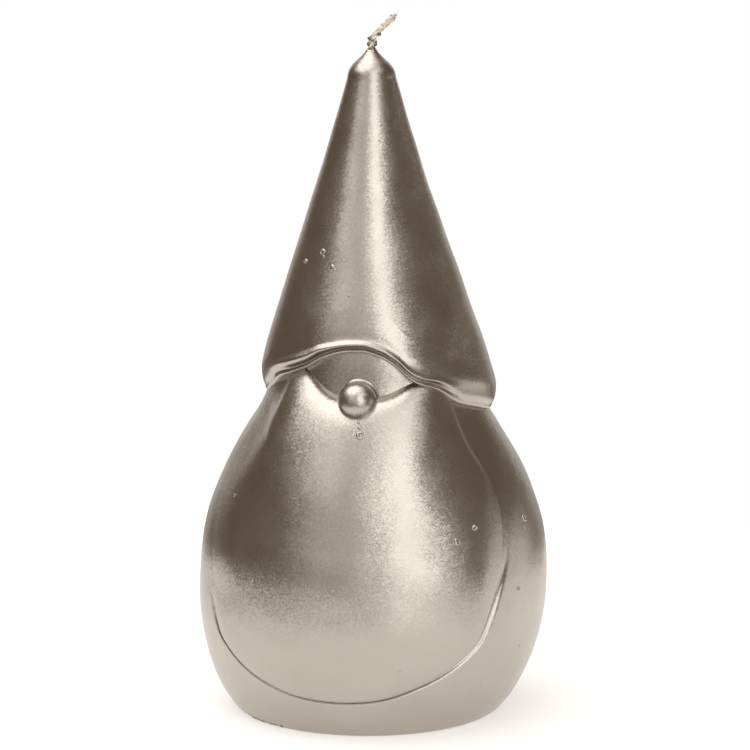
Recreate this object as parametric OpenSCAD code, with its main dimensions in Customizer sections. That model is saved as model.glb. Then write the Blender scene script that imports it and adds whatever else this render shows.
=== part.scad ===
// Gnome candle: a pear-shaped wax figure with a tall pointed hat, a relief beard and a ball
// nose, standing on its flat base, with a braided cotton wick at the tip of the hat.
// Millimetres. The origin is the centre of the base, +Z is up and the face looks along -Y.

/* [Body] */
// Radius of the flat base
base_r = 30.1; // [28:0.1:32]
// Largest radius of the belly
belly_r = 39.7; // [38:0.1:41]
// Height of the widest part of the belly
belly_z = 29; // [27:0.5:31]
// Radius of the neck where the hat rim meets it
neck_r = 25.6; // [25:0.1:26]
// Height of that neck
neck_z = 69.6; // [69:0.1:70]
// Radius of the face under the brim
face_r = 23.4; // [23:0.1:24]
// Height of the crown of the head inside the hat
crown_z = 100; // [96:1:104]

/* [Beard] */
// How far the beard stands proud of the body
relief = 0.8; // [0.5:0.1:1.2]
// Half width of the beard, seen from the front
beard_half_w = 34.6; // [33:0.1:35.5]
// Height of the lowest point of the beard
beard_low_z = 9.3; // [8:0.1:12]
// Height at which the beard is widest
beard_wide_z = 38; // [36:1:42]
// Height of the notch in the beard's upper edge, behind the nose
notch_z = 75.6; // [74.5:0.1:76.5]

/* [Nose] */
// Radius of the ball nose
nose_r = 4.25; // [3.8:0.05:4.6]
// Height of the nose's centre
nose_z = 75.3; // [74.5:0.1:76.5]
// Distance of the nose's centre from the vertical axis
nose_reach = 26; // [25.5:0.1:26.5]
// Turn of the nose off the front, towards +X
nose_turn = 5; // [0:0.5:6]

/* [Hat] */
// Largest radius of the hat, at its rolled rim
rim_r = 26.4; // [26.2:0.1:27]
// Height of that radius
rim_z = 76.3; // [75.5:0.1:77]
// Height of the rim's lower edge at the sides and the back
rim_low_z = 69.7; // [69.6:0.1:70.2]
// Rise of the brim's arch over the face
arch_h = 16; // [14:0.5:16.5]
// Half width of that arch, seen from the front
arch_half_w = 25.2; // [24.5:0.1:25.5]
// Radius of the hat where its blunt tip starts
tip_r = 5.4; // [5:0.1:5.8]
// Height at which the blunt tip starts
tip_z = 144.4; // [143.5:0.1:145]
// Height of the wax at the wick
wax_h = 150; // [149.5:0.1:151]

/* [Wick] */
// Radius of the braided wick
wick_r = 0.85; // [0.7:0.05:0.95]
// Length of the exposed wick's lower, nearly upright stretch
stub_l = 2.4; // [2:0.1:3]
// Length of its upper, leaning stretch
lean_l = 6; // [5:0.1:7]
// Lean of the upper stretch from the vertical
lean_angle = 41; // [30:1:50]
// Direction of the lean, turned from +X
lean_turn = 12; // [0:1:30]
// Radius of the tinned disc that holds the foot of the wick
sustainer_r = 9; // [7:0.5:10]

/* [Base] */
// Radius of the levelling pour at the bottom
fill_r = 26; // [22:0.5:27]
// Depth of the levelling pour
fill_h = 2.5; // [2:0.1:3]

/* [Hidden] */

wax = "#a89c8c";
bare_wax = "#efe6d2";
cotton = "#d9cfb4";
tin = "silver";

// Clearance between pieces that meet face to face
seam = 0.05;
// Steps in each curved stretch of an outline
steps = 10;
// Long enough to cut right through the figure
far = 60;

nose_x = nose_reach * sin(nose_turn);
nose_y = -nose_reach * cos(nose_turn);
bore_r = wick_r + seam;
disc_h = 0.3;
collar_r = wick_r + 0.55;
collar_h = 4;
disc_z = fill_h + seam;
pocket_top = disc_z + disc_h + seam;
core_top = wax_h + 0.2;
// The wick is a little thicker where it bends
knee_r = wick_r * 1.06;
hinge_z = core_top + knee_r + 0.1;
stub_angle = 6;
prong_r = wick_r * 0.5;
prong_l = 1.3;
prong_spread = 13;

// Point at t, from 0 to 1, along the cubic curve of four control points
function curve_at(p, t) =
    pow(1 - t, 3) * p[0] + 3 * t * pow(1 - t, 2) * p[1] + 3 * t * t * (1 - t) * p[2] + pow(t, 3) * p[3];
// The same curve as points, without its last one
function curve(p) = [for (i = [0:steps - 1]) curve_at(p, i / steps)];

// Side of the body from its base to its neck, with the belly's two curves, grown by g
function belly(g) = concat(
    curve([[base_r + g, 0], [base_r + 5.15 + g, 5.5], [belly_r + g, belly_z - 13.7], [belly_r + g, belly_z]]),
    curve([[belly_r + g, belly_z], [belly_r + g, belly_z + 10.5],
           [neck_r + 13.5 + g, neck_z - 20.2], [neck_r + g, neck_z]]));

// Head above the neck: the nearly upright face and the crown that fills the hat
function head(g) = concat(
    [[neck_r + g, neck_z], [face_r + g, neck_z + 4.4]],
    curve([[face_r - 1 + g, neck_z + 17], [face_r - 4 + g, crown_z - 4], [14 + g, crown_z + g], [0, crown_z + g]]));

// Upper edge of the open face: height of the brim's arch at x
function brim_z(x) = rim_low_z + arch_h * (1 - pow(min(1, abs(x) / arch_half_w), 1.65));

// Height of the beard's notched upper edge at x
notch_x = 1.4;
function notch_edge_z(x) = notch_z + 4 * pow((x - notch_x) / 12, 2);

// Half width of the beard at an angle a around its outline, -90 at its lowest point
beard_power = 2 / 2.25;
function beard_point(a) = a < 0
    ? [beard_half_w * pow(cos(a), beard_power),
       beard_wide_z - (beard_wide_z - beard_low_z) * pow(-sin(a), beard_power)]
    : [beard_half_w * cos(a), beard_wide_z + 43.6 * sin(a)];
beard_half = [for (a = [-90:7.5:60]) beard_point(a)];

module prism_along_y(outline, y0, y1) {
    translate([0, y1, 0])
        rotate([90, 0, 0])
            linear_extrude(height = y1 - y0)
                polygon(outline);
}

module wax_core(g) {
    rotate_extrude($fn = 96)
        polygon(concat([[0, 0]], belly(g), head(g), [[0, crown_z + g]]));
}

module nose_ball(g) {
    translate([nose_x, nose_y, nose_z])
        sphere(r = nose_r + g, $fn = 64);
}

// Everything above the brim's edge: an arch in front, level at the back
module above_brim(drop) {
    arch = [for (i = [-12:12]) let (x = i * arch_half_w / 12) [x, brim_z(x) - drop]];
    prism_along_y(concat([[-far, rim_low_z - drop]], arch,
                         [[far, rim_low_z - drop], [far, 3 * far], [-far, 3 * far]]), -far, 0);
    translate([-far, 0, rim_low_z - drop])
        cube([2 * far, far, 3 * far]);
}

// The front view of the beard, from its outline up to the notched edge
module beard_front() {
    outline = concat(beard_half, [for (i = [len(beard_half) - 1:-1:0]) [-beard_half[i][0], beard_half[i][1]]]);
    notch = [for (i = [-6:6]) let (x = notch_x + i * 2.5) [x, notch_edge_z(x)]];
    difference() {
        prism_along_y(outline, -far, -1);
        prism_along_y(concat([[-far, far * 2]], notch, [[far, far * 2]]), -2 * far, far);
    }
}

module wick_bore() {
    translate([0, 0, -1])
        cylinder(r = bore_r, h = 3 * far, $fn = 48);
}

module body() {
    color(wax)
        difference() {
            wax_core(0);
            wick_bore();
            nose_ball(seam);
            rotate_extrude($fn = 96)
                polygon([[0, -1], [fill_r + seam + 0.4, -1], [fill_r + seam, 0], [fill_r - 3 + seam, disc_z],
                         [sustainer_r + seam, disc_z], [sustainer_r + seam, pocket_top],
                         [collar_r + seam, pocket_top], [collar_r + seam, pocket_top + collar_h],
                         [0, pocket_top + collar_h]]);
        }
}

module beard() {
    color(wax)
        difference() {
            intersection() {
                wax_core(relief);
                beard_front();
            }
            wax_core(0);
            above_brim(seam);
            nose_ball(seam);
        }
}

module nose() {
    color(wax)
        nose_ball(0);
}

module hat() {
    cone = curve([[rim_r, rim_z], [rim_r, rim_z + 5.5], [tip_r + 2.4, tip_z - 14], [tip_r, tip_z]]);
    tip = curve([[tip_r, tip_z], [tip_r - 0.5, tip_z + 2.2], [2.6, wax_h - 2.1], [wick_r + 0.25, wax_h]]);
    color(wax)
        difference() {
            intersection() {
                rotate_extrude($fn = 96)
                    polygon(concat([[0, neck_z - 2], [neck_r + 0.1, neck_z - 2], [neck_r + 0.1, neck_z + 0.4]],
                                   cone, tip, [[wick_r + 0.25, wax_h], [0, wax_h]]));
                above_brim(0);
            }
            wax_core(seam);
            nose_ball(seam);
            wick_bore();
        }
}

module wick_core() {
    color(cotton)
        translate([0, 0, disc_z + disc_h])
            cylinder(r = wick_r, h = core_top - disc_z - disc_h, $fn = 48);
}

module wick_tip() {
    color(cotton)
        translate([0, 0, hinge_z])
            rotate([0, 0, lean_turn]) {
                sphere(r = knee_r, $fn = 48);
                rotate([0, stub_angle, 0]) {
                    cylinder(r = wick_r, h = stub_l, $fn = 48);
                    translate([0, 0, stub_l])
                        rotate([0, lean_angle - stub_angle, 0]) {
                            sphere(r = knee_r, $fn = 48);
                            cylinder(r = wick_r, h = lean_l, $fn = 48);
                            translate([0, 0, lean_l - prong_r])
                                for (side = [-1, 1])
                                    rotate([0, side * prong_spread, 0])
                                        translate([side * prong_r * 0.8, 0, 0])
                                            cylinder(r = prong_r, h = prong_l + prong_r, $fn = 24);
                        }
                }
            }
}

module wick_sustainer() {
    color(tin)
        translate([0, 0, disc_z])
            rotate_extrude($fn = 96)
                polygon([[0, 0], [sustainer_r, 0], [sustainer_r, disc_h], [collar_r, disc_h],
                         [collar_r, collar_h], [bore_r, collar_h], [bore_r, disc_h], [0, disc_h]]);
}

module base_fill() {
    color(bare_wax)
        rotate_extrude($fn = 96)
            polygon([[0, 0], [fill_r, 0], [fill_r - 3, fill_h], [0, fill_h]]);
}

body();
beard();
nose();
hat();
wick_core();
wick_tip();
wick_sustainer();
base_fill();
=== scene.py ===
import math

import bpy
import numpy as np
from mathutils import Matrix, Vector


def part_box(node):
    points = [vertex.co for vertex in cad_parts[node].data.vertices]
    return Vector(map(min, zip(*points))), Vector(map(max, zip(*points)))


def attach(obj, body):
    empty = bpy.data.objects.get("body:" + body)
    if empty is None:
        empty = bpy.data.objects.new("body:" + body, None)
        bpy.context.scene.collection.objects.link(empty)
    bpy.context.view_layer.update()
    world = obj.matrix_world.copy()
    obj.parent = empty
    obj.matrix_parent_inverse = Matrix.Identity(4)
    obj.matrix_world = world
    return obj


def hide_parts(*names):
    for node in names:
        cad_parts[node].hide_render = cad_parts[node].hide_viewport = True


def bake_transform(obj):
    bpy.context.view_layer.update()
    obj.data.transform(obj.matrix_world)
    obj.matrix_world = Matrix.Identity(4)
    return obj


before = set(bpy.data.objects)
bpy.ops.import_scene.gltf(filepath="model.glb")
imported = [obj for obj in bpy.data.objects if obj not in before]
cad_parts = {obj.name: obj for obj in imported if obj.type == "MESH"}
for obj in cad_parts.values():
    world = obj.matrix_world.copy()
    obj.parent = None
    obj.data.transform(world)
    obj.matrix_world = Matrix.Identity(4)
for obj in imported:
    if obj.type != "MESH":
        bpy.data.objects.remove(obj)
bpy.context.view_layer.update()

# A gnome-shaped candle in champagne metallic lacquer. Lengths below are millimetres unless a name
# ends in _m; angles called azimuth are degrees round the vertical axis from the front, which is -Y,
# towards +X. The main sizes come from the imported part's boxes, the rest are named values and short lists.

MM = 0.001


def box_mm(node):
    """A node's lowest and highest corners, in millimetres."""
    low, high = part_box(node)
    return np.array(low) / MM, np.array(high) / MM


body_low, body_high = box_mm("body")
nose_low, nose_high = box_mm("nose")
beard_low = box_mm("beard")[0]
fill_low, fill_high = box_mm("base_fill")

BELLY_R = (body_high[0] - body_low[0]) / 2
FILL_R = (fill_high[0] - fill_low[0]) / 2
FILL_H = fill_high[2]
NOSE_R = (nose_high[2] - nose_low[2]) / 2
NOSE = (nose_low + nose_high) / 2
BEARD_LOW_Z = beard_low[2]

CAMERA_AZIMUTH = 12.0
CAMERA_DISTANCE = 850.0
CAMERA_HEIGHT = 235.0
CAMERA_LOOKS_AT_Z = 75.0


# ---------------------------------------------------------------- numbers and curves

def pchip(x, xs, ys):
    """Smooth curve through points, with no overshoot between them (Fritsch-Carlson slopes)."""
    xs, ys = np.asarray(xs, float), np.asarray(ys, float)
    h = np.diff(xs)
    d = np.diff(ys) / h
    m = np.zeros_like(xs)
    same = d[:-1] * d[1:] > 0
    w1, w2 = 2 * h[1:] + h[:-1], h[1:] + 2 * h[:-1]
    inner = np.zeros(len(d) - 1)
    inner[same] = (w1 + w2)[same] / (w1[same] / d[:-1][same] + w2[same] / d[1:][same])
    m[1:-1] = inner
    m[0], m[-1] = d[0], d[-1]
    x = np.clip(x, xs[0], xs[-1])
    i = np.clip(np.searchsorted(xs, x, side="right") - 1, 0, len(h) - 1)
    t = (x - xs[i]) / h[i]
    return ((2 * t ** 3 - 3 * t ** 2 + 1) * ys[i] + (t ** 3 - 2 * t ** 2 + t) * h[i] * m[i]
            + (-2 * t ** 3 + 3 * t ** 2) * ys[i + 1] + (t ** 3 - t ** 2) * h[i] * m[i + 1])


def bezier(points, count):
    """Points along the cubic curve of four control points."""
    t = np.linspace(0, 1, count)[:, None]
    p = np.asarray(points, float)
    return (1 - t) ** 3 * p[0] + 3 * (1 - t) ** 2 * t * p[1] + 3 * (1 - t) * t ** 2 * p[2] + t ** 3 * p[3]


def smoothstep(x, low, high):
    t = np.clip((x - low) / (high - low), 0, 1)
    return t * t * (3 - 2 * t)


def catmull(points, count, closed=False):
    """Evenly sampled smooth curve through points in any dimension."""
    p = np.asarray(points, float)
    if closed:
        p = np.vstack([p[-1], p, p[0], p[1]])
    else:
        p = np.vstack([2 * p[0] - p[1], p, 2 * p[-1] - p[-2]])
    out = []
    for i in range(1, len(p) - 2):
        t = np.linspace(0, 1, 40, endpoint=False)[:, None]
        a, b, c, d = p[i - 1], p[i], p[i + 1], p[i + 2]
        out.append(0.5 * (2 * b + (c - a) * t + (2 * a - 5 * b + 4 * c - d) * t ** 2
                          + (3 * b - a - 3 * c + d) * t ** 3))
    dense = np.vstack(out + [p[-2][None]])
    length = np.concatenate([[0], np.cumsum(np.linalg.norm(np.diff(dense, axis=0), axis=1))])
    at = np.linspace(0, length[-1], count, endpoint=not closed)
    return np.stack([np.interp(at, length, dense[:, k]) for k in range(dense.shape[1])], axis=1)


# ---------------------------------------------------------------- the figure's shape

def belly_outline():
    """The body's side from its base to below the neck: the belly's two curves."""
    neck_r, neck_z, belly_z = 25.6, 69.6, 29.0
    base_r = 30.1
    low = bezier([(base_r, 0), (base_r + 5.15, 5.5), (BELLY_R, belly_z - 13.7), (BELLY_R, belly_z)], 80)
    high = bezier([(BELLY_R, belly_z), (BELLY_R, belly_z + 10.5),
                   (neck_r + 13.5, neck_z - 20.2), (neck_r, neck_z)], 80)
    return np.vstack([low, high[1:]])


BELLY = belly_outline()
NECK_Z = 66.0
# The head above the neck, inside the hat: (height, radius)
HEAD = [(NECK_Z, float(np.interp(NECK_Z, BELLY[:, 1], BELLY[:, 0]))), (70, 25.5), (75, 23.5), (86, 22),
        (93, 18.5), (97.5, 10)]


def body_radius(z):
    """Radius of the body and head at a height."""
    z = np.asarray(z, float)
    low = np.interp(z, BELLY[:, 1], BELLY[:, 0])
    high = pchip(z, [h[0] for h in HEAD], [h[1] for h in HEAD])
    return np.where(z < HEAD[0][0], low, high)


def sway(z, stops):
    """Sideways drift of the hand-poured figure at a height, along the camera's right."""
    s = pchip(np.asarray(z, float), *zip(*stops))
    a = math.radians(CAMERA_AZIMUTH)
    return s * math.cos(a), s * math.sin(a)


# The drift of the body and of the hat: (height, drift)
BODY_SWAY = [(0, -0.75), (4, -0.5), (12, -0.05), (22, 0.25), (36, 0.5), (60, 0.5), (70, 0.7), (84, 0.7),
             (100, 0.3)]
HAT_SWAY = [(66, 1.1), (74, 1.3), (84, 1.0), (100, 0.5), (125, 0.1), (151, 0.0)]


def waviness(p):
    """Slow undulation of the poured wax and its lacquer, in millimetres, at points p."""
    rng = np.random.default_rng(5)
    total = np.zeros(len(p))
    for wave_length, height, count in ((34.0, 0.15, 5), (14.0, 0.055, 7), (5.5, 0.011, 9)):
        for _ in range(count):
            k = rng.normal(size=3)
            k *= 2 * math.pi / wave_length / np.linalg.norm(k)
            total += height / math.sqrt(count) * np.sin(p @ k + rng.uniform(0, 2 * math.pi))
    return total


def place(azimuth, r, z, stops, wavy=1.0):
    """World points, in millimetres, for azimuth in radians, radius and height."""
    azimuth, r, z = np.broadcast_arrays(azimuth, r, z)
    azimuth, r, z = azimuth.ravel(), r.ravel(), z.ravel()
    flat = np.stack([r * np.sin(azimuth), -r * np.cos(azimuth), z], axis=1)
    fade = smoothstep(z, 0.5, 8) * (1 - smoothstep(z, 140, 148)) * np.clip(r / 8, 0, 1)
    r = r + wavy * waviness(flat) * fade
    dx, dy = sway(z, stops)
    return np.stack([r * np.sin(azimuth) + dx, -r * np.cos(azimuth) + dy, z], axis=1)


# ---------------------------------------------------------------- meshes

def outward(points, faces):
    """The faces of one closed part, turned so that they all look outwards."""
    p = np.asarray(points, float)
    p = p - p.mean(axis=0)
    corners = np.array([tuple(f) + (f[0],) * (4 - len(f)) for f in faces])
    a, b, c, d = (p[corners[:, k]] for k in range(4))
    volume = (a * (np.cross(b, c) + np.cross(c, d))).sum()
    return [tuple(f[::-1]) for f in faces] if volume < 0 else faces


def new_piece(name, points, faces, material, body="candle"):
    """A smooth-shaded mesh object in metres, with one material, that rides on a body if one is named."""
    mesh = bpy.data.meshes.new(name)
    mesh.from_pydata((np.asarray(points) * MM).tolist(), [], outward(points, faces))
    mesh.validate()
    mesh.update()
    mesh.polygons.foreach_set("use_smooth", [True] * len(mesh.polygons))
    piece = bpy.data.objects.new(name, mesh)
    bpy.context.scene.collection.objects.link(piece)
    mesh.materials.append(material)
    if body:
        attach(piece, body)
    return piece


def lathe_faces(rows, columns, first_pole=None, last_pole=None):
    """Quads of a grid of rows that closes round its columns, and fans to the poles that are given."""
    faces = []
    for i in range(rows - 1):
        a, b = i * columns, (i + 1) * columns
        for j in range(columns):
            k = (j + 1) % columns
            faces.append((a + j, a + k, b + k, b + j))
    if first_pole is not None:
        faces += [(first_pole, (j + 1) % columns, j) for j in range(columns)]
    if last_pole is not None:
        a = (rows - 1) * columns
        faces += [(last_pole, a + j, a + (j + 1) % columns) for j in range(columns)]
    return faces


def tube(path, radii, sides, twist=0.0, lobes=0, lobe_depth=0.0):
    """Points and faces of a closed tube along a path, its section lobed and twisted like yarn."""
    path = np.asarray(path, float)
    tangents = np.gradient(path, axis=0)
    tangents /= np.linalg.norm(tangents, axis=1)[:, None]
    side = np.cross(tangents[0], (0.3, 0.9, 0.2))
    points = []
    for i, (centre, t, r) in enumerate(zip(path, tangents, radii)):
        side = side - t * side.dot(t)
        side /= np.linalg.norm(side)
        up = np.cross(t, side)
        for j in range(sides):
            a = 2 * math.pi * j / sides
            lobed = r * (1 + lobe_depth * math.cos(lobes * (a - twist * i)))
            points.append(centre + lobed * (math.cos(a) * side + math.sin(a) * up))
    points += [path[0] - tangents[0] * radii[0] * 0.4, path[-1] + tangents[-1] * radii[-1] * 0.4]
    rows = len(path)
    return points, lathe_faces(rows, sides, rows * sides, rows * sides + 1)


def join(parts):
    """One list of points and one of faces from several closed parts."""
    points, faces = [], []
    for p, f in parts:
        base = len(points)
        points += [tuple(v) for v in p]
        faces += [tuple(i + base for i in face) for face in outward(p, f)]
    return points, faces


# ---------------------------------------------------------------- materials

class Nodes:
    """A small helper that builds a material's node tree."""

    def __init__(self, name):
        self.material = bpy.data.materials.new(name)
        self.material.use_nodes = True
        self.tree = self.material.node_tree
        self.shader = self.tree.nodes["Principled BSDF"]
        self.where = self.add("ShaderNodeTexCoord").outputs["Object"]

    def add(self, kind, **settings):
        made = self.tree.nodes.new(kind)
        for key, value in settings.items():
            setattr(made, key, value)
        return made

    def link(self, source, socket):
        self.tree.links.new(source, socket)

    def scaled(self, scale):
        """Object coordinates times a scale per axis."""
        node = self.add("ShaderNodeMapping")
        node.inputs["Scale"].default_value = scale
        self.link(self.where, node.inputs["Vector"])
        return node.outputs["Vector"]

    def noise(self, size_mm, detail=2.0, rough=0.5, where=None):
        node = self.add("ShaderNodeTexNoise")
        node.inputs["Scale"].default_value = 1000.0 / size_mm
        node.inputs["Detail"].default_value = detail
        node.inputs["Roughness"].default_value = rough
        self.link(where or self.where, node.inputs["Vector"])
        return node.outputs["Fac"]

    def cells(self, size_mm, output):
        node = self.add("ShaderNodeTexVoronoi")
        node.inputs["Scale"].default_value = 1000.0 / size_mm
        self.link(self.where, node.inputs["Vector"])
        return node.outputs[output]

    def remap(self, value, low, high, to_low, to_high, smooth=False):
        node = self.add("ShaderNodeMapRange")
        node.interpolation_type = "SMOOTHSTEP" if smooth else "LINEAR"
        for key, number in (("From Min", low), ("From Max", high), ("To Min", to_low), ("To Max", to_high)):
            node.inputs[key].default_value = number
        self.link(value, node.inputs["Value"])
        return node.outputs["Result"]

    def mix(self, fac, a, b):
        node = self.add("ShaderNodeMix", data_type="RGBA")
        self.link(fac, node.inputs["Factor"])
        for socket, value in ((node.inputs[6], a), (node.inputs[7], b)):
            if isinstance(value, tuple):
                socket.default_value = value + (1,)
            else:
                self.link(value, socket)
        return node.outputs[2]

    def math(self, kind, a, b):
        node = self.add("ShaderNodeMath", operation=kind)
        for socket, value in zip(node.inputs, (a, b)):
            if isinstance(value, (int, float)):
                socket.default_value = value
            else:
                self.link(value, socket)
        return node.outputs[0]

    def vector(self, kind, a, b=None, scale=None):
        node = self.add("ShaderNodeVectorMath", operation=kind)
        for socket, value in zip(node.inputs, (a, b)):
            if isinstance(value, tuple):
                socket.default_value = value
            elif value is not None:
                self.link(value, socket)
        if scale is not None:
            node.inputs["Scale"].default_value = scale
        return node.outputs["Vector"]

    def bump(self, height, distance_mm, normal=None):
        node = self.add("ShaderNodeBump")
        node.inputs["Distance"].default_value = distance_mm * MM
        self.link(height, node.inputs["Height"])
        if normal is not None:
            self.link(normal, node.inputs["Normal"])
        return node.outputs["Normal"]


def flaked_normal(m, flakes):
    """The surface normal, tilted a little in each flake: (flake size in mm, tilt) pairs."""
    orange_peel = m.bump(m.noise(1.6, 3.0, 0.55), 0.012)
    normal = orange_peel
    for size, tilt in flakes:
        random = m.vector("SUBTRACT", m.cells(size, "Color"), (0.5, 0.5, 0.5))
        normal = m.vector("ADD", normal, m.vector("SCALE", random, scale=tilt))
    return m.vector("NORMALIZE", normal)


def lacquer(name, light, dark, rough=(0.27, 0.34)):
    """Champagne metallic lacquer: fine flakes, slow changes of tone and of gloss."""
    m = Nodes(name)
    tone = m.remap(m.noise(22.0, 3.0, 0.6), 0.3, 0.7, 0.0, 1.0)
    colour = m.mix(tone, dark, light)
    speck = m.remap(m.cells(0.42, "Distance"), 0.0, 0.55, 0.0, 1.0)
    colour = m.mix(m.math("MULTIPLY", speck, 0.10), colour, dark)
    m.link(colour, m.shader.inputs["Base Color"])
    m.link(m.remap(m.noise(9.0, 4.0, 0.6), 0.3, 0.7, *rough), m.shader.inputs["Roughness"])
    m.shader.inputs["Metallic"].default_value = 1.0
    m.link(flaked_normal(m, ((0.38, 0.06), (0.19, 0.09))), m.shader.inputs["Normal"])
    return m.material


def bare_wax():
    """Unpainted cream paraffin: faint mottling, a little light passing through, scraped level."""
    m = Nodes("bare_wax")
    m.link(m.mix(m.remap(m.noise(7.0, 4.0), 0.3, 0.7, 0.0, 1.0), (0.80, 0.72, 0.56), (0.90, 0.85, 0.72)),
           m.shader.inputs["Base Color"])
    m.link(m.remap(m.noise(2.0, 5.0), 0.2, 0.8, 0.38, 0.6), m.shader.inputs["Roughness"])
    scraped = m.noise(1.2, 3.0, where=m.scaled((1.0, 0.08, 1.0)))
    m.link(m.bump(scraped, 0.05, normal=m.bump(m.noise(9.0, 3.0), 0.3)), m.shader.inputs["Normal"])
    m.shader.inputs["Subsurface Weight"].default_value = 0.25
    m.shader.inputs["Subsurface Radius"].default_value = (0.004, 0.003, 0.002)
    return m.material


def painted_shade_lip():
    """Painted shade for the ragged lip where the lacquer has chipped at the lower edge: near-black and
    mottled, standing in for the shade under the lip.
    """
    m = Nodes("lip_painted_shade")
    # Both near-black colours are painted shade under the lacquer's lip; the noise only mottles them.
    shade_mottle = m.remap(m.noise(0.9, 4.0, 0.7), 0.35, 0.65, 0.0, 1.0)
    m.link(m.mix(shade_mottle, (0.035, 0.026, 0.02), (0.20, 0.15, 0.11)), m.shader.inputs["Base Color"])
    m.link(m.remap(m.noise(0.5, 3.0), 0.3, 0.7, 0.5, 0.8), m.shader.inputs["Roughness"])
    m.link(m.bump(m.noise(0.4, 4.0), 0.1), m.shader.inputs["Normal"])
    return m.material


def cotton():
    """Cream cotton yarn, waxed: fine threads and a few grey stains from the lacquer."""
    m = Nodes("cotton")
    thread = m.noise(0.22, 2.0, where=m.scaled((1.0, 1.0, 0.3)))
    colour = m.mix(m.remap(thread, 0.35, 0.65, 0.0, 1.0), (0.62, 0.55, 0.42), (0.90, 0.86, 0.72))
    stain = m.remap(m.noise(1.6, 3.0, 0.7), 0.53, 0.64, 0.0, 0.8)
    m.link(m.mix(stain, colour, (0.20, 0.16, 0.12)), m.shader.inputs["Base Color"])
    m.link(m.remap(thread, 0.3, 0.7, 0.75, 0.5), m.shader.inputs["Roughness"])
    m.link(m.bump(thread, 0.05), m.shader.inputs["Normal"])
    m.shader.inputs["Sheen Weight"].default_value = 0.25
    return m.material


def tinned_steel():
    """Thin tinned sheet with fine pressing marks."""
    m = Nodes("tinned_steel")
    streak = m.noise(0.6, 4.0, where=m.scaled((1.0, 0.1, 1.0)))
    m.link(m.mix(streak, (0.50, 0.50, 0.49), (0.70, 0.70, 0.68)), m.shader.inputs["Base Color"])
    m.link(m.remap(streak, 0.3, 0.7, 0.22, 0.38), m.shader.inputs["Roughness"])
    m.link(m.bump(streak, 0.02), m.shader.inputs["Normal"])
    m.shader.inputs["Metallic"].default_value = 1.0
    return m.material


# ---------------------------------------------------------------- pieces

COLUMNS = 384


def uneven_turn(fine, coarse, half_front):
    """Azimuths once round, in radians: finely spaced over the front, coarser behind."""
    front = np.linspace(-half_front, half_front, fine, endpoint=False)
    behind = np.linspace(half_front, 360 - half_front, coarse, endpoint=False)
    return np.radians(np.concatenate([front, behind]))


# The beard's front, fuller than the belly's own curve: control points (radius, height)
BEARD_FRONT = bezier([(38.97, 44), (36.8, 55), (33.0, 67), (23.2, 81)], 60)
# The line where the beard's shoulder begins, carried on under the hat: (across, height)
FACE_LINE = [(-24, 84), (-16, 83), (-11.5, 80.8), (-8, 78), (-4, 76), (1.2, 75.4), (7, 76.1), (12.2, 78.3),
             (16, 79.8), (22, 81.5)]
# The beard's upper edge from right to left: under the brim, along that line, and under the brim again
NOTCH = [(18.8, 77.6), (16.2, 79.3)] + FACE_LINE[2:8][::-1] + [(-14.5, 82.2), (-19, 78.6)]
# How far the beard stands proud, how wide its shoulder is, and how far its rim sinks into the body
RELIEF = 0.8
SHOULDER_WIDTH = 4.5
EDGE_SINK = 0.5


def beard_full(azimuth, z):
    """The beard's radius away from its edges: swelling out in front, following the body at its sides."""
    plain = body_radius(z) + RELIEF
    front = 1 - smoothstep(np.abs(np.degrees(azimuth)), 26, 66)
    swell = np.interp(z, BEARD_FRONT[:, 1], BEARD_FRONT[:, 0]) - plain
    return plain + np.where(z > BEARD_FRONT[0, 1], np.maximum(swell, 0) * front, 0)


def rounded(t):
    """A rounded edge: straight up at its foot, levelling out softly towards 1."""
    return np.sqrt(1 - np.exp(-2.6 * np.clip(t, 0, None)))


# The beard's edge seen from the front, up its right side: (across, height)
BEARD_SIDE = [(9, 10), (16, 12.1), (22.2, 15), (27.2, 18.9), (30.4, 23.4), (33.4, 35), (34, 43),
              (31.6, 54), (23.2, 68.3)]


def beard_outline(count):
    """The beard's edge seen from the front, once round, as (x, z) points."""
    left = [(-x * (1 + 0.1 * float(smoothstep(z, 44, 66))), z) for x, z in BEARD_SIDE[::-1]]
    loop = [(0.0, BEARD_LOW_Z)] + BEARD_SIDE + [(20.3, 75.0)] + NOTCH + [(-22.6, 75.0)] + left
    return catmull(loop, count, closed=True)


def edge_width(x, z):
    """How wide the beard's rounded edge is: crisp below, wider up its right side, broadest up its left."""
    flank = smoothstep(z, 17, 30) * (1 - smoothstep(z, 46, 58))
    upper = 0.4 * smoothstep(z, 46, 56) * smoothstep(x, 16, 22)
    left = 8.0 * smoothstep(z, 18, 34) * smoothstep(-x, 12, 18)
    return 0.9 + upper + 2.8 * flank * smoothstep(x, 20, 30) + left


def edge_rise(t, x, z):
    """The edge's height at a share of its width: crisp, a slope up the right side, faint up the left."""
    high = smoothstep(z, 18, 34)
    right = smoothstep(z, 26, 44) * smoothstep(x, 18, 26)
    left = high * smoothstep(-x, 11, 17)
    t = np.clip(t, 0, None)
    slope = 1 - (1 - np.clip(t, 0, 1)) ** 1.5
    # The faint left edge starts just under the body's surface, so that its corner doesn't show
    hidden = 0.04 * (1 - smoothstep(t, 0, 0.25))
    return (1 - right - left) * rounded(t) + right * slope + left * (smoothstep(t, 0, 1) - hidden)


def beard_radius(azimuth, z, depth, seen):
    """Radius of the beard at a depth in from its edge, at points seen from the front as (x, z)."""
    floor = body_radius(z)
    extra = beard_full(azimuth, z) - floor - RELIEF
    rise = edge_rise(depth / edge_width(*seen), *seen)
    under_face = pchip(floor * np.sin(azimuth), *zip(*FACE_LINE)) - z
    return floor + rise * (RELIEF + extra * rounded(under_face / SHOULDER_WIDTH))


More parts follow.
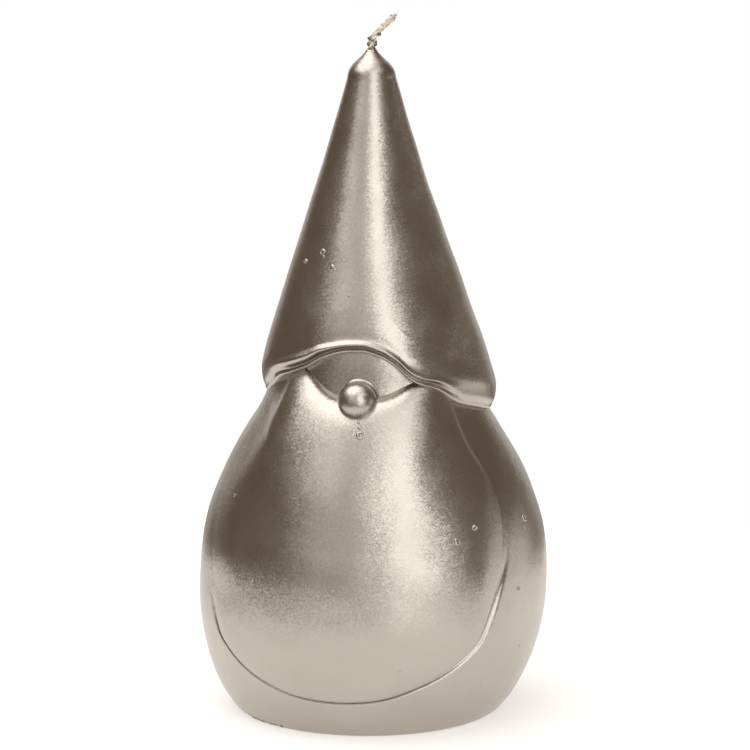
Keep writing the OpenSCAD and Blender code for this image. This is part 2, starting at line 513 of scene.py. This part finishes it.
def make_beard(material):
    """The relief beard: one rounded edge all round, a full shoulder under the face."""
    count = 640
    edge = beard_outline(count)
    centre = np.array([0.0, 40.0])
    along = np.roll(edge, -1, axis=0) - np.roll(edge, 1, axis=0)
    normal = np.stack([along[:, 1], -along[:, 0]], axis=1)
    normal /= np.linalg.norm(normal, axis=1)[:, None]
    arm = edge - centre
    reach = np.linalg.norm(arm, axis=1)
    facing = np.clip((arm / reach[:, None] * normal).sum(axis=1), 0.55, 1)
    near = [0.0, 0.02, 0.07, 0.15, 0.25, 0.37, 0.5, 0.66, 0.84, 1.05, 1.3, 1.6, 1.95, 2.4, 2.9, 3.5, 4.2]
    rings = [(1 - d / (reach * facing), np.full(count, d)) for d in near]
    last = rings[-1][0]
    rings += [(last * f, (1 - last * f) * reach * facing) for f in np.linspace(1, 0.02, 44)[1:]]

    def surface(share, depth, sunk=None):
        flat = centre + arm * share[:, None]
        z = flat[:, 1]
        azimuth = np.arcsin(np.clip(flat[:, 0] / (body_radius(z) + RELIEF), -0.999, 0.999))
        r = body_radius(z) - sunk if sunk else beard_radius(azimuth, z, depth, flat.T)
        return place(azimuth, r, z, BODY_SWAY)

    back = [surface(share, depth, 1.2) for share, depth in rings[::-6]]
    front = [surface(*rings[0], EDGE_SINK)] + [surface(share, depth) for share, depth in rings]
    rows = back + front
    points = np.vstack(rows + [rows[0].mean(axis=0)[None], rows[-1].mean(axis=0)[None]])
    n = len(rows) * count
    piece = new_piece("relief_beard", points, lathe_faces(len(rows), count, n, n + 1), material)
    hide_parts("beard")
    return piece


def distance_to_edge(x, z):
    """Distance from points to the beard's outline in the front view."""
    line = beard_outline(400)
    best = np.full(x.shape, 1e9)
    for p, q in zip(line, np.roll(line, -1, axis=0)):
        along = q - p
        t = np.clip(((x - p[0]) * along[0] + (z - p[1]) * along[1]) / along.dot(along), 0, 1)
        best = np.minimum(best, np.hypot(x - p[0] - t * along[0], z - p[1] - t * along[1]))
    return best


def make_body(material):
    """The poured body: hollow base, rounded lower edge, belly with a crease round the beard, and head."""
    edge_r = 0.9
    crease_depth, crease_width = 0.75, 0.38
    crown_z = 99.3
    base_r = BELLY[0, 0]
    rise = math.degrees(math.atan2(BELLY[3, 1] - BELLY[0, 1], BELLY[3, 0] - BELLY[0, 0]))
    base = [(FILL_R - 3, FILL_H), (FILL_R - 1.5, FILL_H / 2), (FILL_R + 0.06, 0.0), (FILL_R + 1.5, 0.0),
            (base_r - edge_r * 1.5, 0.0)]
    turn = np.radians(np.linspace(-90, rise - 90, 9))
    foot = [(base_r - 0.7 + edge_r * math.cos(a), edge_r * (1 + math.sin(a))) for a in turn]
    side_z = np.concatenate([np.arange(foot[-1][1] + 0.4, 8, 0.7), np.arange(8, 24, 0.22),
                             np.arange(24, 66, 0.5), np.arange(66.0, 88, 0.45),
                             np.linspace(88.5, 97.2, 10)])
    side = [(r, z) for r, z in zip(body_radius(side_z), side_z)]
    crown = [(7.0, 98.4), (3.5, 99.1)]
    rows = np.array(base + foot + side + crown)
    azimuth = uneven_turn(300, 110, 78)
    columns = len(azimuth)
    r, z = rows[:, 0][:, None] + 0 * azimuth, rows[:, 1][:, None] + 0 * azimuth
    x = r * np.sin(azimuth)
    away = distance_to_edge(x, z)
    front = (np.cos(azimuth) > 0.1) & (z > 6) & (z < 72)
    fade = (1 - smoothstep(z, 20, 32) * smoothstep(-x, 14, 22)) * (1 - smoothstep(z, 26, 46))
    r = r - np.where(front, fade * crease_depth * np.exp(-(away / crease_width) ** 2), 0)
    points = place(azimuth + 0 * r, r, z, BODY_SWAY)
    poles = place(0.0, np.array([0.0, 0.0]), np.array([FILL_H, crown_z]), BODY_SWAY)
    n = len(points)
    faces = lathe_faces(len(rows), columns, n, n + 1)
    piece = new_piece("wax_body", np.vstack([points, poles]), faces, material)
    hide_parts("body")
    return piece


# The hat's lower edge round the head: (azimuth, height)
BRIM = [(-180, 68.9), (-140, 69.4), (-110, 70.6), (-78, 73), (-48, 78.3), (-27, 81.6), (-18, 83.8),
        (-3.5, 85.5), (4.3, 85.6), (14.5, 84.5), (22, 82.6), (31, 79.1), (45, 76.7), (57, 73.5), (70, 71.8),
        (100, 69.2), (180, 68.9)]
# The rim's section, upwards from its edge: (height over the edge, radius less the cone's there)
FRONT_RIM = [(0.3, -3), (0, -1.8), (0.12, -1.05), (0.5, -0.8), (0.9, -1.6), (1.2, -1.4), (1.5, -0.35),
             (1.85, 0.1), (2.4, -0.15), (3.2, -0.45), (5.5, -0.2), (9.5, 0)]
SIDE_RIM = [(0.3, -4.8), (0, -3.7), (0.25, -3.14), (1.1, -2.6), (2.5, -1.64), (4.5, -0.76), (6.6, -0.26),
            (11.5, 0)]
# The hat's cone: control points (radius, height) of its side
CONE = bezier([(32, 60), (24.1, 88), (12.9, 116), (5.5, 144)], 80)
# The hat's blunt tip: (height, radius)
TIP = [(144, 5.5), (145.7, 5.1), (147.2, 4.1), (148.6, 2.6), (149.8, 1.45), (150.4, 1.15)]


# How far out of round the hat is, and how far its oval is turned, in degrees
HAT_OVAL = 0.035
HAT_OVAL_TURN = 15.0


def hat_radius(azimuth, z):
    """The hat's cone, a little out of round."""
    oval = HAT_OVAL * np.sin(2 * (azimuth - math.radians(HAT_OVAL_TURN))) * smoothstep(z, 70, 84)
    return np.interp(z, CONE[:, 1], CONE[:, 0]) * (1 - oval)


def make_hat(material):
    """The pointed hat: blunt tip, cone, wavy rolled brim with its second lip, and its hollow."""
    degrees = np.linspace(-180, 180, COLUMNS, endpoint=False)
    azimuth = np.radians(degrees)
    edge = pchip(degrees, *zip(*BRIM))
    front = 1 - smoothstep(np.abs(degrees), 34, 64)
    rows = []
    for z, r in catmull(TIP[::-1], 26):
        cone = hat_radius(azimuth, np.full(COLUMNS, TIP[0][0])) / TIP[0][1]
        rows.append((r * cone, np.full(COLUMNS, z)))
    front_rim, side_rim = catmull(FRONT_RIM, 64), catmull(SIDE_RIM, 64)
    spread = 1.2 * smoothstep(-degrees, 6, 32)
    top_up = front * front_rim[-1, 0] + (1 - front) * side_rim[-1, 0]
    for t in np.linspace(0, 1, 150)[1:-1]:
        z = (1 - t) * TIP[0][0] + t * (edge + top_up)
        rows.append((hat_radius(azimuth, z), z))
    for i in range(63, -1, -1):
        over = front_rim[i, 0]
        over = over + spread * smoothstep(over, 0.95, 2.0) * (1 - smoothstep(over, 2.5, 9.5))
        up = front * over + (1 - front) * side_rim[i, 0]
        inset = front * front_rim[i, 1] + (1 - front) * side_rim[i, 1]
        z = edge + up
        rows.append((hat_radius(azimuth, z) + inset, z))
    inside_low, inside_high, seam = edge + 1.2, 97.0, 0.05
    for t in np.linspace(0, 1, 14):
        z = (1 - t) * inside_low + t * inside_high
        rows.append((body_radius(z) + seam, z))
    points = np.vstack([place(azimuth, r, z, HAT_SWAY) for r, z in rows])
    tip_z, hollow_top_z = 150.3, 99.6
    poles = place(0.0, np.array([0.0, 0.0]), np.array([tip_z, hollow_top_z]), HAT_SWAY)
    n = len(points)
    faces = lathe_faces(len(rows), COLUMNS, n, n + 1)
    piece = new_piece("pointed_hat", np.vstack([points, poles]), faces, material)
    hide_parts("hat")
    return piece


def make_nose(material):
    """The ball nose, not quite round, with the collar of lacquer that runs up it from the face."""
    ball_rows, collar_rows, columns = 84, 14, 144
    leave = math.radians(104)
    face_depth = -2.9
    out = np.array([NOSE[0], NOSE[1], 0]) / math.hypot(NOSE[0], NOSE[1])
    right = np.array([-out[1], out[0], 0])
    up = np.array([0, 0, 1.0])
    angle = np.linspace(0, 2 * math.pi, columns, endpoint=False)
    round_axis = np.cos(angle)[:, None] * right + np.sin(angle)[:, None] * up
    full = 0.25 + 0.75 * smoothstep(np.cos(angle - math.radians(55)), -0.35, 0.75)
    rows = []
    for i in range(1, ball_rows + 1):
        p = leave * i / ball_rows
        squash = 1 + 0.008 * np.sin(2 * angle + 0.6) * math.sin(p) ** 2
        rows.append(NOSE + NOSE_R * squash[:, None] * (math.cos(p) * out + math.sin(p) * round_axis))
    start = np.array([NOSE_R * math.cos(leave), NOSE_R * math.sin(leave)])
    for t in np.linspace(0, 1, collar_rows + 1)[1:]:
        depth = (1 - t) ** 2 * start[0] + 2 * (1 - t) * t * -2.35 + t ** 2 * face_depth
        wide = (1 - t) ** 2 * start[1] + 2 * (1 - t) * t * 3.5 + t ** 2 * (3.45 + 1.15 * full)
        rows.append(NOSE + depth * out + wide[:, None] * round_axis)
    rows.append(NOSE + (face_depth - 1.0) * out + 2.5 * round_axis)
    points = np.vstack(rows + [(NOSE + NOSE_R * out)[None], (NOSE + (face_depth - 1.2) * out)[None]])
    n = len(rows) * columns
    piece = new_piece("ball_nose", points, lathe_faces(len(rows), columns, n, n + 1), material)
    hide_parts("nose")
    return piece


LEAN_TURN = math.radians(12.0)
# Centre line of the exposed wick in the plane it leans in: (sideways, height)
WICK_LINE = [(0.0, 147.0), (0.0, 150.0), (0.0, 151.2), (0.08, 152.1), (0.4, 153.0), (1.15, 154.0),
             (2.35, 155.15), (3.65, 156.4), (4.95, 157.7)]
# Clots of dried lacquer on the wick: (sideways, height, depth towards the front, size)
CLOTS = [(0.0, 150.4, 0.0, 1.0), (-0.7, 151.6, 0.3, 0.42), (-0.35, 152.9, 0.4, 0.5), (0.75, 151.5, 0.4, 0.4),
         (1.75, 153.85, 0.3, 0.45), (0.3, 152.4, 0.7, 0.24), (0.6, 152.0, -0.6, 0.5), (3.0, 156.2, 0.1, 0.3)]


def blob(centre, size, rng):
    """A lumpy closed blob: points and faces."""
    rows, columns = 14, 20
    phase = rng.uniform(0, 2 * math.pi, 3)
    stretch = rng.uniform(0.75, 1.2, 3)
    points = []
    for i in range(1, rows):
        p = math.pi * i / rows
        for j in range(columns):
            a = 2 * math.pi * j / columns
            bumps = math.sin(2 * a + phase[0]) + 0.6 * math.sin(3 * a + 2 * p + phase[1])
            lump = 1 + 0.2 * math.sin(p) * bumps
            d = np.array([math.sin(p) * math.cos(a), math.sin(p) * math.sin(a), math.cos(p)])
            points.append(centre + d * stretch * size * lump)
    points += [centre + np.array([0, 0, size * stretch[2]]), centre - np.array([0, 0, size * stretch[2]])]
    n = (rows - 1) * columns
    return points, lathe_faces(rows - 1, columns, n, n + 1)


def make_wick(cotton_material, clot_material):
    """The plaited cotton wick: three lobed strands, a frayed end and clots of dried lacquer."""
    rng = np.random.default_rng(11)
    count = 150
    line = catmull(WICK_LINE, count)
    sideways, height = line.T
    centre = np.stack([sideways * math.cos(LEAN_TURN), sideways * math.sin(LEAN_TURN), height], axis=1)
    tangents = np.gradient(centre, axis=0)
    tangents /= np.linalg.norm(tangents, axis=1)[:, None]
    side = np.array([math.cos(LEAN_TURN), math.sin(LEAN_TURN), 0.0])
    across = side[None] - tangents * (tangents @ side)[:, None]
    across /= np.linalg.norm(across, axis=1)[:, None]
    deep = np.cross(tangents, across)
    length = np.concatenate([[0], np.cumsum(np.linalg.norm(np.diff(centre, axis=0), axis=1))])
    pitch, strand_r, depth = 4.6, 0.45, 0.24
    spread = 0.40 - 0.12 * smoothstep(length, 4, 8) + 0.30 * smoothstep(length, length[-1] - 1.4, length[-1])
    strands = []
    for k in range(3):
        phase = 2 * math.pi * (length / pitch + k / 3)
        path = centre + across * (spread * np.sin(phase))[:, None]
        path = path + deep * (depth * np.sin(2 * phase))[:, None]
        radii = strand_r * (1 - 0.14 * smoothstep(length, 4, 8))
        radii[-14:] *= np.linspace(1, 0.5, 14)
        strands.append(tube(path, radii, 24, twist=0.10, lobes=4, lobe_depth=0.16))
    for fibre in range(22):
        end = centre[-5] + rng.normal(0, 0.2, 3)
        heading = tangents[-1] + rng.normal(0, 0.2, 3)
        reach = rng.uniform(0.5, 1.2) if fibre else 2.0
        t = np.linspace(0, 1, 8)[:, None]
        strands.append(tube(end + heading * reach * t + rng.normal(0, 0.2, 3) * t ** 2, np.full(8, 0.045), 6))
    for _ in range(8):
        i = int(rng.integers(60, count - 20))
        turn = rng.uniform(0, 2 * math.pi)
        off = across[i] * math.cos(turn) + deep[i] * math.sin(turn)
        t = np.linspace(0, 1, 8)[:, None]
        sweep = off * rng.uniform(0.2, 0.6) + tangents[i] * rng.uniform(0.2, 0.8)
        strands.append(tube(centre[i] + off * 0.5 + sweep * t, np.full(8, 0.03), 5))
    cotton_points, cotton_faces = join(strands)
    clots = []
    front = np.array([math.sin(LEAN_TURN), -math.cos(LEAN_TURN), 0.0])
    for sideways, z, forward, size in CLOTS:
        clots.append(blob(side * sideways + front * forward + np.array([0, 0, z]), size, rng))
    points, faces = join([(cotton_points, cotton_faces)] + clots)
    wick = new_piece("wick_braid", points, faces, cotton_material, body=None)
    wick.data.materials.append(clot_material)
    lacquered = [int(i >= len(cotton_faces)) for i in range(len(wick.data.polygons))]
    wick.data.polygons.foreach_set("material_index", lacquered)
    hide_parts("wick_tip")
    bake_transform(wick)
    return wick


# Flaws in the lacquer: (kind, azimuth, height, size). Rings are burst bubbles, dots are caught specks.
HAT_FLAWS = [("ring", -27.3, 106.7, 0.50), ("dot", -26.0, 105.8, 0.35), ("ring", -42.7, 104.2, 0.42),
             ("dot", -17.3, 103.7, 0.55), ("dot", -15.2, 103.1, 0.30), ("dot", -3.5, 97.8, 0.30),
             ("dot", 22.0, 131.0, 0.22), ("dot", 8.0, 119.0, 0.2)]
BEARD_FLAWS = [("ring", 6.1, 68.6, 0.62), ("dot", 5.6, 70.2, 0.42), ("dot", 5.0, 71.2, 0.30),
               ("dot", -46.6, 52.6, 0.3), ("dot", -29.7, 35.8, 0.34), ("ring", 40.5, 45.5, 0.60),
               ("ring", 47.6, 47.9, 0.48), ("dot", 21.0, 17.3, 0.26)]
BODY_FLAWS = [("ring", 76.4, 46.8, 0.60), ("dot", 75.4, 44.9, 0.36), ("ring", 66.5, 32.3, 0.36),
              ("dot", 70.9, 18.2, 0.28)]


def hat_point(azimuth, z):
    return place(azimuth, hat_radius(np.array([azimuth]), np.array([z]))[0], z, HAT_SWAY)[0]


def body_point(azimuth, z):
    return place(azimuth, float(body_radius(z)), z, BODY_SWAY)[0]


def beard_point(azimuth, z):
    return place(azimuth, float(beard_full(azimuth, z)), z, BODY_SWAY)[0]


def surface_frame(point_at, azimuth, z):
    """A point of a surface with two directions along it and the one out of it."""
    here = point_at(azimuth, z)
    along = point_at(azimuth + 0.01, z) - here
    up = point_at(azimuth, z + 0.3) - here
    along /= np.linalg.norm(along)
    out = np.cross(along, up / np.linalg.norm(up))
    out /= np.linalg.norm(out)
    return here, along, np.cross(out, along), out


def ring_mesh(here, along, up, out, size, rng):
    """A low uneven ring, half sunk in the surface."""
    turns, sides = 28, 10
    wire = size * 0.46
    points = []
    a0 = rng.uniform(0, 2 * math.pi)
    for i in range(turns):
        a = 2 * math.pi * i / turns
        reach = size * (1 + 0.12 * math.sin(2 * a + a0))
        thick = wire * (1 + 0.35 * math.sin(a + a0))
        radial = along * math.cos(a) + up * math.sin(a)
        for j in range(sides):
            b = 2 * math.pi * j / sides
            points.append(here + radial * (reach + thick * math.cos(b)) + out * thick * (math.sin(b) + 0.3))
    faces = []
    for i in range(turns):
        for j in range(sides):
            k, m = (i + 1) % turns, (j + 1) % sides
            faces.append((i * sides + j, k * sides + j, k * sides + m, i * sides + m))
    return points, faces


def dot_mesh(here, along, up, out, size):
    """A low round speck under the lacquer."""
    rows, columns = 8, 18
    points = []
    for i in range(1, rows):
        p = math.pi * i / rows
        for j in range(columns):
            a = 2 * math.pi * j / columns
            points.append(here + size * math.sin(p) * (along * math.cos(a) + 1.25 * up * math.sin(a))
                          + out * size * 0.5 * math.cos(p))
    points += [here + out * size * 0.5, here - out * size * 0.5]
    n = (rows - 1) * columns
    return points, lathe_faces(rows - 1, columns, n, n + 1)


def make_flaws(material):
    """The bubbles and specks dried into the lacquer, as one piece."""
    rng = np.random.default_rng(3)
    parts = []
    for point_at, flaws in ((hat_point, HAT_FLAWS), (beard_point, BEARD_FLAWS), (body_point, BODY_FLAWS)):
        for kind, azimuth, z, size in flaws:
            frame_here = surface_frame(point_at, math.radians(azimuth), z)
            parts.append(ring_mesh(*frame_here, size, rng) if kind == "ring" else dot_mesh(*frame_here, size))
    points, faces = join(parts)
    return new_piece("lacquer_flaws", points, faces, material)


def make_lip(material):
    """The ragged lip where lacquer broke away from the lower edge, at the front left."""
    rng = np.random.default_rng(8)
    count, lowest = 90, 0.5
    azimuth = np.radians(np.linspace(-58, -24, count))
    height = 0.55 + 0.28 * np.sin(np.linspace(0, 9, count)) + 0.12 * rng.normal(size=count)
    height = np.maximum(height, lowest)
    radius = body_radius(height) - 0.45
    path = place(azimuth, radius, height, BODY_SWAY, 0.0)
    radii = 0.30 + 0.10 * rng.normal(size=count)
    radii = np.clip(np.convolve(radii, np.ones(3) / 3, mode="same"), 0.1, 0.5)
    points, faces = tube(path, radii, 12)
    return new_piece("lacquer_lip", points, faces, material)


# ---------------------------------------------------------------- camera, light and floor

def make_camera():
    """A long lens, a little higher than the hat's tip and to the figure's left, looking slightly down."""
    a = math.radians(CAMERA_AZIMUTH)
    data = bpy.data.cameras.new("camera")
    camera = bpy.data.objects.new("camera", data)
    bpy.context.scene.collection.objects.link(camera)
    spot = np.array([CAMERA_DISTANCE * math.sin(a), -CAMERA_DISTANCE * math.cos(a), CAMERA_HEIGHT])
    target = np.array([0, 0, CAMERA_LOOKS_AT_Z])
    camera.location = spot * MM
    camera.rotation_mode = "QUATERNION"
    camera.rotation_quaternion = Vector((target - spot).tolist()).to_track_quat("-Z", "Y")
    data.sensor_width = 36.0
    data.lens = 182.9
    data.shift_x = 0.0047
    data.shift_y = 0.008
    data.clip_start, data.clip_end = 0.05, 20.0
    bpy.context.scene.camera = camera


# Soft boxes round the figure: azimuth, half width, elevation, half height (degrees), edge, strength
SOFT_BOXES = [
    (32, 16, 26, 14, 8, 2.5),
    (38, 19, 4, 14, 8, 2.2),
    (46, 34, 48, 10, 10, 2.0),
    (-28, 16, 32, 10, 8, 1.3),
    (-8, 30, 26, 28, 10, 0.60),
    (0, 220, 74, 15, 10, 1.1),
    (117, 24, -6, 9, 8, 0.85),
    (-168, 32, 40, 50, 10, 0.65),
    (192, 32, 40, 50, 10, 0.65),
]
# The lamp overhead: azimuth and elevation of its middle, half width in degrees, edge, strength
OVERHEAD = (-78, 72, 34, 8, 2.5)
ROOM = (0.170, 0.126, 0.092)


def make_world():
    """A dim warm room with a few white soft boxes; white where the camera looks past the floor."""
    world = bpy.data.worlds.new("studio")
    bpy.context.scene.world = world
    world.use_nodes = True
    tree = world.node_tree
    tree.nodes.clear()

    def add(kind, **settings):
        node = tree.nodes.new(kind)
        for key, value in settings.items():
            setattr(node, key, value)
        return node

    def maths(kind, *values):
        node = add("ShaderNodeMath", operation=kind)
        for socket, value in zip(node.inputs, values):
            if isinstance(value, (int, float)):
                socket.default_value = value
            else:
                tree.links.new(value, socket)
        return node.outputs[0]

    def falloff(value, size, edge):
        node = add("ShaderNodeMapRange", interpolation_type="SMOOTHSTEP")
        tree.links.new(value, node.inputs["Value"])
        limits = {"From Min": size - edge, "From Max": size + edge, "To Min": 1.0, "To Max": 0.0}
        for key, number in limits.items():
            node.inputs[key].default_value = number
        return node.outputs["Result"]

    direction = add("ShaderNodeSeparateXYZ")
    tree.links.new(add("ShaderNodeTexCoord").outputs["Generated"], direction.inputs[0])
    x, y, z = direction.outputs
    azimuth = maths("MULTIPLY", maths("ARCTAN2", x, maths("MULTIPLY", y, -1.0)), 180 / math.pi)
    elevation = maths("MULTIPLY", maths("ARCSINE", z), 180 / math.pi)
    total = None
    for at, half_w, up, half_h, edge, strength in SOFT_BOXES:
        across = falloff(maths("ABSOLUTE", maths("SUBTRACT", azimuth, float(at))), half_w, edge)
        tall = falloff(maths("ABSOLUTE", maths("SUBTRACT", elevation, float(up))), half_h, edge)
        box = maths("MULTIPLY", maths("MULTIPLY", across, tall), strength)
        total = box if total is None else maths("MAXIMUM", total, box)
    at, up, half_w, edge, strength = OVERHEAD
    towards = add("ShaderNodeVectorMath", operation="DOT_PRODUCT")
    tree.links.new(add("ShaderNodeTexCoord").outputs["Generated"], towards.inputs[0])
    a, e = math.radians(at), math.radians(up)
    towards.inputs[1].default_value = (math.sin(a) * math.cos(e), -math.cos(a) * math.cos(e), math.sin(e))
    away = maths("MULTIPLY", maths("ARCCOSINE", towards.outputs["Value"]), 180 / math.pi)
    total = maths("MAXIMUM", total, maths("MULTIPLY", falloff(away, half_w, edge), strength))
    room = add("ShaderNodeRGB")
    room.outputs[0].default_value = ROOM + (1,)
    lit = add("ShaderNodeMix", data_type="RGBA", blend_type="ADD")
    lit.inputs["Factor"].default_value = 1.0
    tree.links.new(room.outputs[0], lit.inputs[6])
    grey = add("ShaderNodeCombineColor")
    for channel in grey.inputs:
        tree.links.new(total, channel)
    tree.links.new(grey.outputs[0], lit.inputs[7])
    studio, white = add("ShaderNodeBackground"), add("ShaderNodeBackground")
    tree.links.new(lit.outputs[2], studio.inputs["Color"])
    white.inputs["Color"].default_value = (1, 1, 1, 1)
    white.inputs["Strength"].default_value = 1.0
    choose = add("ShaderNodeMixShader")
    tree.links.new(add("ShaderNodeLightPath").outputs["Is Camera Ray"], choose.inputs[0])
    tree.links.new(studio.outputs[0], choose.inputs[1])
    tree.links.new(white.outputs[0], choose.inputs[2])
    tree.links.new(choose.outputs[0], add("ShaderNodeOutputWorld").inputs[0])


def make_floor():
    """A round white table top under the figure."""
    radius, columns, gap = 210.0, 128, 0.02
    turns = [2 * math.pi * j / columns for j in range(columns)]
    ring = [(radius * math.cos(a), radius * math.sin(a), -gap) for a in turns]
    mesh = bpy.data.meshes.new("table")
    mesh.from_pydata([tuple(c * MM for c in p) for p in ring], [], [tuple(range(columns))])
    table = bpy.data.objects.new("table", mesh)
    bpy.context.scene.collection.objects.link(table)
    m = Nodes("white_table")
    m.shader.inputs["Base Color"].default_value = (0.5, 0.5, 0.5, 1)
    m.shader.inputs["Roughness"].default_value = 0.9
    m.shader.inputs["Emission Color"].default_value = (1.0, 0.95, 0.91, 1)
    m.shader.inputs["Emission Strength"].default_value = 0.58
    mesh.materials.append(m.material)


# ---------------------------------------------------------------- the scene

make_camera()
make_world()
make_floor()

skin = lacquer("champagne_lacquer", light=(0.475, 0.443, 0.390), dark=(0.435, 0.403, 0.350))
yarn = cotton()
make_body(skin)
make_beard(skin)
make_nose(skin)
make_hat(skin)
make_wick(yarn, lacquer("dried_lacquer", light=(0.30, 0.26, 0.21), dark=(0.14, 0.11, 0.08)))
make_flaws(skin)
# The lip is coloured with painted shade: a near-black line for the shade under the lacquer's edge.
make_lip(painted_shade_lip())

for node, material in (("base_fill", bare_wax()), ("wick_sustainer", tinned_steel()), ("wick_core", yarn)):
    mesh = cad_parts[node].data
    mesh.materials.clear()
    mesh.materials.append(material)

bpy.context.scene.view_settings.view_transform = "Standard"
